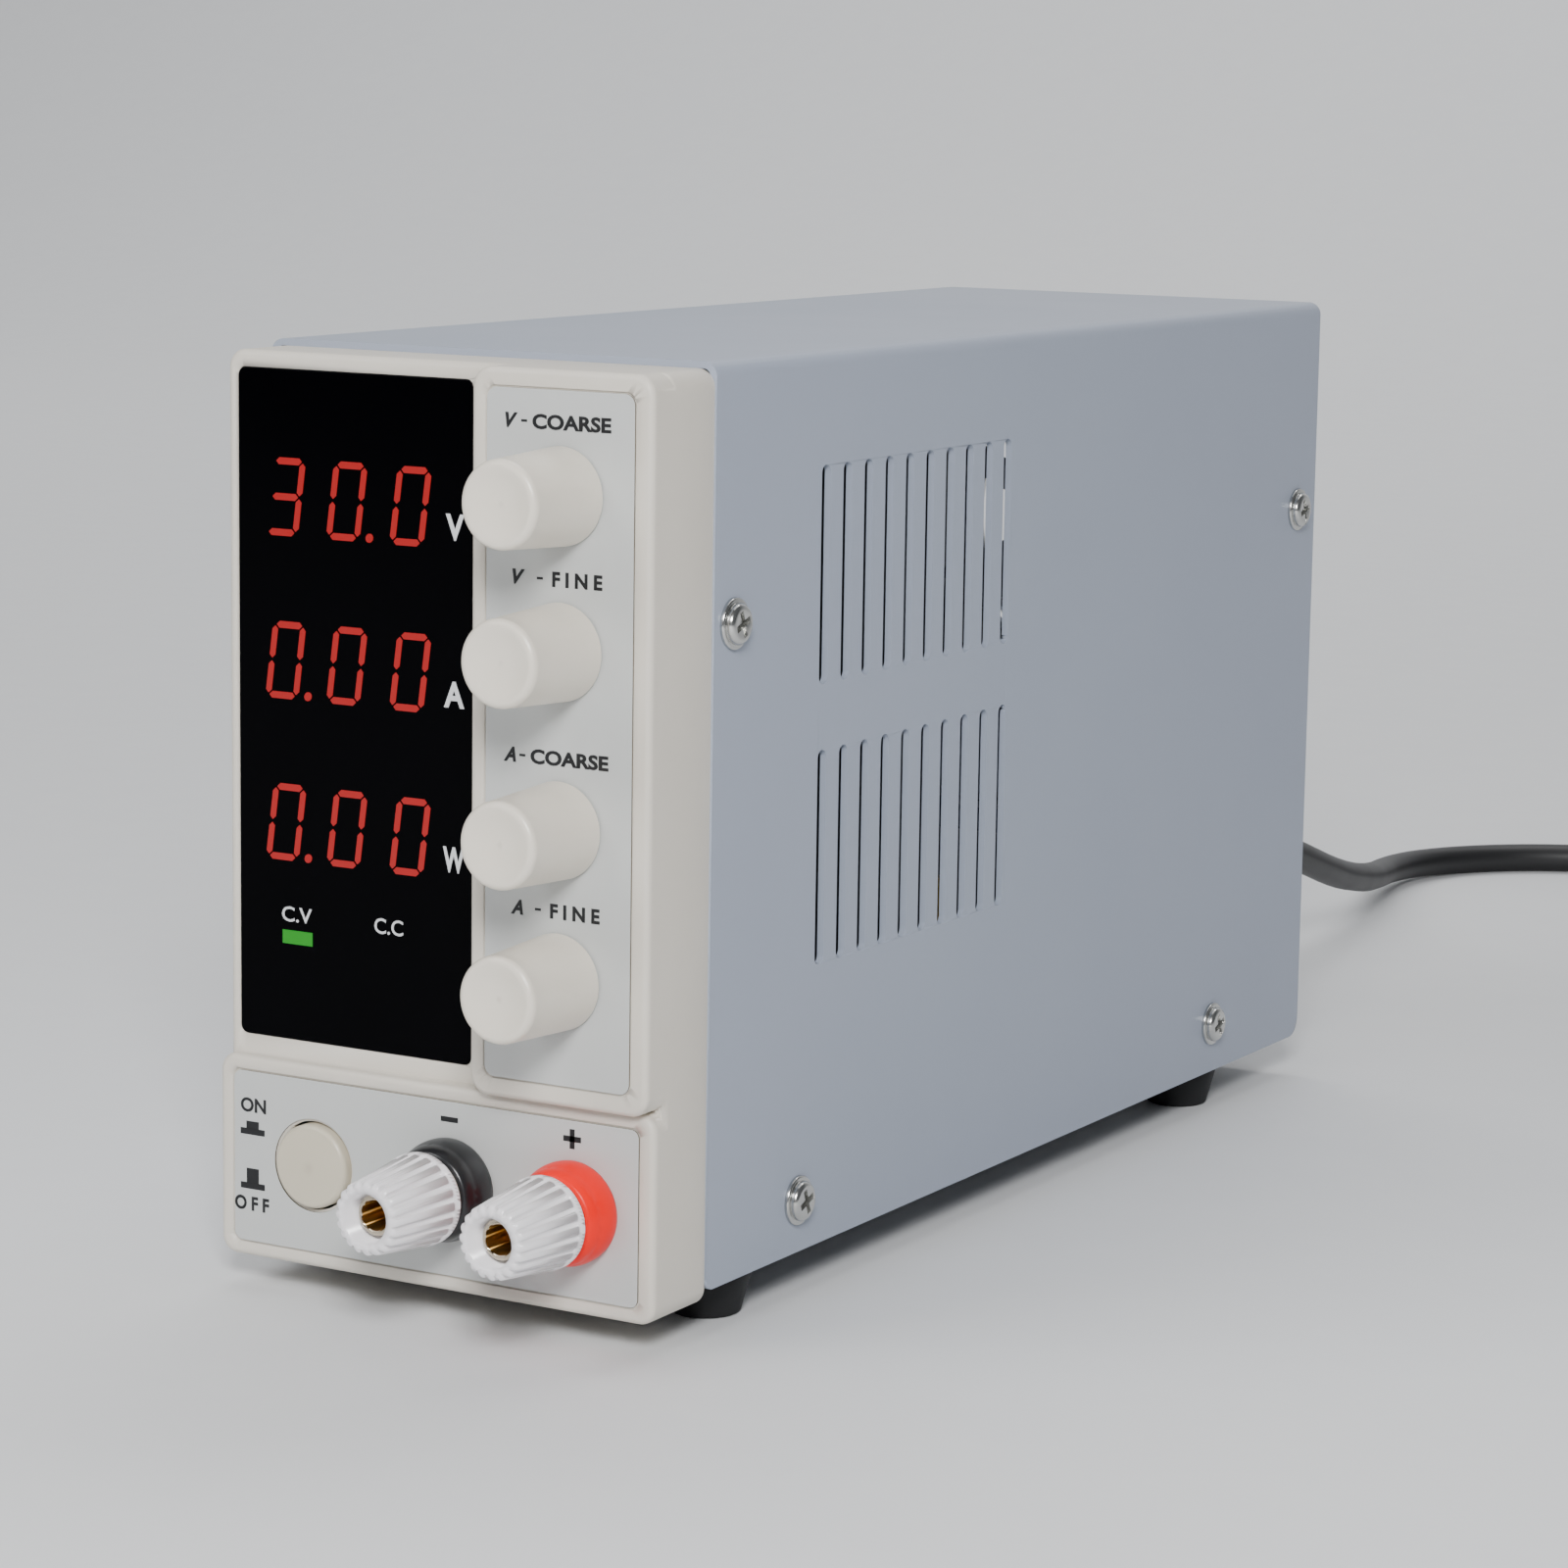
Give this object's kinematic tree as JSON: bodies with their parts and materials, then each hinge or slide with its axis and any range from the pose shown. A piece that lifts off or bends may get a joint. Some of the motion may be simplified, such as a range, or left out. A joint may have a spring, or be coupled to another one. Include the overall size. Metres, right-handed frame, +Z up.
{
  "type": "bench power supply",
  "caption": "Compact benchtop DC supply: front panel with LED readouts, control knobs, mains button and binding posts, vented folded case, rear fan and mains lead.",
  "frame": {"origin": "on the floor under the middle of the supply, between the most forward binding post and the rearmost fan screws", "axes": "+Z up, +Y towards the rear panel, +X to the user's right; the front panel faces -Y"},
  "size_m": [0.1237, 0.5452, 0.1273],
  "materials": {
    "bezel_plastic": "moulded ABS, warm cream, fine satin texture",
    "label_film": "printed polycarbonate film, cool light grey",
    "window_plastic": "glossy smoked acrylic window",
    "cover_paint": "satin blue-grey powder coat",
    "galvanised_steel": "zinc plated sheet",
    "screw_steel": "bright nickel plated screws",
    "foot_rubber": "black rubber",
    "knob_plastic": "moulded knobs, warm white",
    "button_plastic": "moulded push button, cream",
    "white_plastic": "bright white moulded caps",
    "red_plastic": "red insulating collar",
    "black_plastic": "black moulded plastic",
    "plated_brass": "nickel plated brass",
    "brass": "bare brass",
    "aluminium": "extruded aluminium",
    "circuit_board": "green solder mask on glass-epoxy board",
    "component_black": "black component packages",
    "ferrite": "sintered ferrite core",
    "winding_tape": "yellow winding tape over copper",
    "capacitor_sleeve": "dark sleeve over aluminium cans",
    "led_module": "seven segment LED modules with a dark face",
    "lamp_lens": "green indicator lamps",
    "wire_insulation": "insulated wire",
    "cord_jacket": "black flexible mains cord"
  },
  "bodies": {
    "case": {"front_bezel": "bezel_plastic", "display_window": "window_plastic", "knob_label_plate": "label_film", "terminal_label_plate": "label_film", "top_cover": "cover_paint", "base_pan": "galvanised_steel", "front_plate": "galvanised_steel", "rear_panel": "cover_paint", "rubber_feet": "foot_rubber", "chassis_screws": "screw_steel", "cover_screws": "screw_steel", "bezel_screws": "screw_steel", "readout_modules": "led_module", "indicator_lamps": "lamp_lens", "control_board": "circuit_board", "potentiometers": "component_black", "button_spring": "screw_steel", "power_switch": "component_black", "post_insulators": "black_plastic", "post_nuts": "plated_brass", "output_leads": "wire_insulation", "ribbon_cable": "wire_insulation", "mains_wires": "wire_insulation", "main_board": "circuit_board", "standoffs": "plated_brass", "transformer_core": "ferrite", "transformer_winding": "winding_tape", "capacitors": "capacitor_sleeve", "heatsinks": "aluminium", "power_transistors": "component_black", "chokes": "ferrite", "fan_frame": "component_black", "fan_guard": "screw_steel", "rear_screws": "screw_steel", "mains_inlet": "black_plastic", "inlet_pins": "plated_brass", "cord_connector": "cord_jacket", "mains_cord": "cord_jacket", "cord_coil": "cord_jacket", "cord_tie": "black_plastic", "wall_plug": "cord_jacket", "plug_pins": "brass", "negative_collar": "black_plastic", "negative_socket": "plated_brass", "positive_collar": "red_plastic", "positive_socket": "plated_brass"},
    "voltage_coarse_control": {"voltage_coarse_shaft": "aluminium", "voltage_coarse_knob": "knob_plastic"},
    "voltage_fine_control": {"voltage_fine_shaft": "aluminium", "voltage_fine_knob": "knob_plastic"},
    "current_coarse_control": {"current_coarse_shaft": "aluminium", "current_coarse_knob": "knob_plastic"},
    "current_fine_control": {"current_fine_shaft": "aluminium", "current_fine_knob": "knob_plastic"},
    "power_button": {"power_button": "button_plastic"},
    "fan_rotor": {"fan_rotor": "component_black"},
    "negative_washer": {"negative_washer": "plated_brass"},
    "negative_cap": {"negative_cap": "white_plastic"},
    "positive_washer": {"positive_washer": "plated_brass"},
    "positive_cap": {"positive_cap": "white_plastic"}
  },
  "joints": [
    {"name": "voltage_coarse_turn", "type": "hinge", "parent": "case", "child": "voltage_coarse_control", "pos_m": [0.02105, -0.10047, 0.1106], "axis": [0, 1, 0], "range_deg": [-150, 150]},
    {"name": "voltage_fine_turn", "type": "hinge", "parent": "case", "child": "voltage_fine_control", "pos_m": [0.02105, -0.10047, 0.0909], "axis": [0, 1, 0], "range_deg": [-150, 150]},
    {"name": "current_coarse_turn", "type": "hinge", "parent": "case", "child": "current_coarse_control", "pos_m": [0.02105, -0.10047, 0.0681], "axis": [0, 1, 0], "range_deg": [-150, 150]},
    {"name": "current_fine_turn", "type": "hinge", "parent": "case", "child": "current_fine_control", "pos_m": [0.02105, -0.10047, 0.0485], "axis": [0, 1, 0], "range_deg": [-150, 150]},
    {"name": "power_button_press", "type": "slide", "parent": "case", "child": "power_button", "axis": [0, 1, 0], "range_m": [-0.0032, 0.0006]},
    {"name": "fan_spin", "type": "hinge", "parent": "case", "child": "fan_rotor", "pos_m": [0, 0.09953, 0.0894], "axis": [0, 1, 0], "continuous": true},
    {"name": "negative_cap_travel", "type": "slide", "parent": "case", "child": "negative_washer", "axis": [0, -1, 0], "range_m": [0, 0.005]},
    {"name": "negative_cap_turn", "type": "hinge", "parent": "negative_washer", "child": "negative_cap", "pos_m": [0.00315, -0.10547, 0.0185], "axis": [0, -1, 0], "range_deg": [0, 1805]},
    {"name": "positive_cap_travel", "type": "slide", "parent": "case", "child": "positive_washer", "axis": [0, -1, 0], "range_m": [0, 0.005]},
    {"name": "positive_cap_turn", "type": "hinge", "parent": "positive_washer", "child": "positive_cap", "pos_m": [0.02225, -0.10547, 0.0181], "axis": [0, -1, 0], "range_deg": [0, 1805]}
  ],
  "couplings": [
    {"joint": "negative_cap_turn", "follows": "negative_cap_travel", "rad_per_m": 6283.2},
    {"joint": "positive_cap_turn", "follows": "positive_cap_travel", "rad_per_m": 6283.2}
  ]
}
